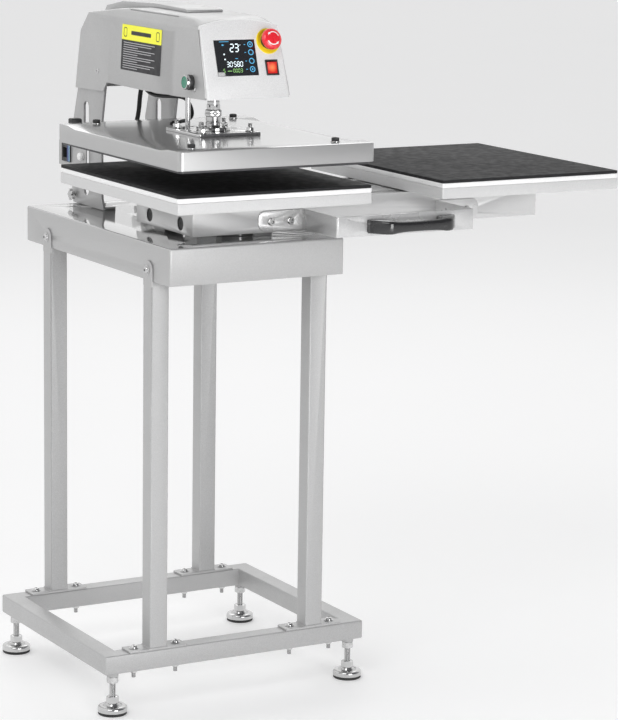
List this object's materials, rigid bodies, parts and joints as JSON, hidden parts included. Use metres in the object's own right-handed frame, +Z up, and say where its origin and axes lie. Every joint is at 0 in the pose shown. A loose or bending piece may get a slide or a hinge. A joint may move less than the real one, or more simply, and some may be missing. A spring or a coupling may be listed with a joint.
{
  "type": "heat press",
  "caption": "Electric heat press with a head on a rear arm over a heated platen, padded lower platens on a sliding carriage with a pull handle, and a welded stand on levelling feet.",
  "frame": {"origin": "on the floor, under the middle of the whole press's box at rest", "axes": "+X to the operator's right along the carriage's travel, -Y towards the operator, +Z up"},
  "size_m": [1.0422, 0.7997, 1.295],
  "materials": {
    "stand_paint": "silver grey powder coat, fine metallic grain",
    "table_sheet": "smooth glossy silver coat that mirrors what stands on it",
    "zinc": "bright zinc and nickel plated fasteners",
    "foot_metal": "nickel plated levelling feet",
    "ground_steel": "ground bearing steel",
    "plate_steel": "silver grey coated plate",
    "strap_steel": "silver grey coated bar",
    "beam_coat": "satin silver coated sheet",
    "platen_base": "cast aluminium with a pale satin coat",
    "platen_plate": "fine ground aluminium",
    "silicone": "black silicone sponge, matt",
    "cover_sheet": "fine brushed silver sheet",
    "heater": "dark non-stick coated aluminium",
    "black_plastic": "black moulded plastic",
    "grip": "glossy black moulded grip",
    "thrust_chrome": "polished chromed thrust parts",
    "head_paint": "silver metallic coat",
    "fascia": "light silver satin coat",
    "drive": "cast housing inside the head",
    "display": "black display glass",
    "stop_yellow": "yellow ring and black collar",
    "stop_red": "red mushroom cap",
    "rocker_red": "red lit rocker",
    "start_green": "green button",
    "cable": "black cable sheath"
  },
  "bodies": {
    "frame": {"actuator_bed": "plate_steel", "arm_plate_left": "plate_steel", "arm_plate_right": "plate_steel", "arm_ties": "plate_steel", "base_tube_front": "stand_paint", "base_tube_left": "stand_paint", "base_tube_rear": "stand_paint", "base_tube_right": "stand_paint", "display_glass": "display", "drive_units": "drive", "foot_lock_nuts": "zinc", "front_fascia": "fascia", "front_housing": "head_paint", "leg_front_left": "stand_paint", "leg_front_right": "stand_paint", "leg_rear_left": "stand_paint", "leg_rear_right": "stand_paint", "mains_inlet": "black_plastic", "plate_fittings": "plate_steel", "rear_conduit": "cable", "rear_cover": "head_paint", "rocker_bezel": "black_plastic", "slide_bearings": "ground_steel", "stand_bolts": "zinc", "start_bezel": "thrust_chrome", "stop_base": "stop_yellow", "table_screws": "zinc", "table_top": "table_sheet", "top_spine": "head_paint"},
    "carriage": {"carriage_beam": "beam_coat", "carriage_shafts": "ground_steel", "shaft_holders": "ground_steel", "shaft_end_caps": "black_plastic", "platen_bases": "platen_base", "platen_plates": "platen_plate", "silicone_pads": "silicone", "platen_screws": "zinc", "pull_strap": "strap_steel", "strap_fasteners": "zinc", "pull_handle": "grip"},
    "press_head": {"platen_cover": "cover_sheet", "heating_plate": "heater", "cover_cap_screws": "black_plastic", "thermostat_cover": "black_plastic", "mounting_plate": "thrust_chrome", "mounting_screws": "zinc", "thrust_flange": "thrust_chrome", "thrust_rod": "thrust_chrome", "guide_rod": "ground_steel", "heater_lead": "cable"},
    "collar": {"pressure_collar": "thrust_chrome"},
    "stop_plunger": {"stop_stem": "black_plastic"},
    "stop_mushroom": {"stop_cap": "stop_red"},
    "rocker": {"rocker_switch": "rocker_red"},
    "start": {"start_button": "start_green"},
    "foot_front_left": {"foot_front_left": "foot_metal"},
    "foot_front_right": {"foot_front_right": "foot_metal"},
    "foot_rear_left": {"foot_rear_left": "foot_metal"},
    "foot_rear_right": {"foot_rear_right": "foot_metal"}
  },
  "joints": [
    {"name": "carriage_slide", "type": "slide", "parent": "frame", "child": "carriage", "axis": [1, 0, 0], "range_m": [-0.553, 0]},
    {"name": "press_stroke", "type": "slide", "parent": "frame", "child": "press_head", "axis": [0, 0, -1], "range_m": [0, 0.038]},
    {"name": "collar_turn", "type": "hinge", "parent": "press_head", "child": "collar", "pos_m": [-0.2344, -0.1088, 1.101], "axis": [0, 0, 1], "range_deg": [-180, 180]},
    {"name": "stop_push", "type": "slide", "parent": "frame", "child": "stop_plunger", "axis": [0, 0.9471, -0.3211], "range_m": [0, 0.004]},
    {"name": "stop_twist", "type": "hinge", "parent": "stop_plunger", "child": "stop_mushroom", "pos_m": [-0.179, -0.21618, 1.24153], "axis": [0, 0.9471, -0.3211], "range_deg": [0, 45], "stiffness_Nm_per_rad": 0.15, "springref_deg": -17.19},
    {"name": "power_rocker", "type": "hinge", "parent": "frame", "child": "rocker", "pos_m": [-0.1784, -0.23028, 1.19372], "axis": [1, 0, 0], "range_deg": [-18, 0]},
    {"name": "start_push", "type": "slide", "parent": "frame", "child": "start", "axis": [0.9987, 0, -0.0506], "range_m": [0, 0.003], "stiffness_N_per_m": 400, "springref_m": -0.003},
    {"name": "foot_front_left_height", "type": "slide", "parent": "frame", "child": "foot_front_left", "axis": [0, 0, -1], "range_m": [-0.012, 0.012]},
    {"name": "foot_front_right_height", "type": "slide", "parent": "frame", "child": "foot_front_right", "axis": [0, 0, -1], "range_m": [-0.012, 0.012]},
    {"name": "foot_rear_left_height", "type": "slide", "parent": "frame", "child": "foot_rear_left", "axis": [0, 0, -1], "range_m": [-0.012, 0.012]},
    {"name": "foot_rear_right_height", "type": "slide", "parent": "frame", "child": "foot_rear_right", "axis": [0, 0, -1], "range_m": [-0.012, 0.012]}
  ]
}
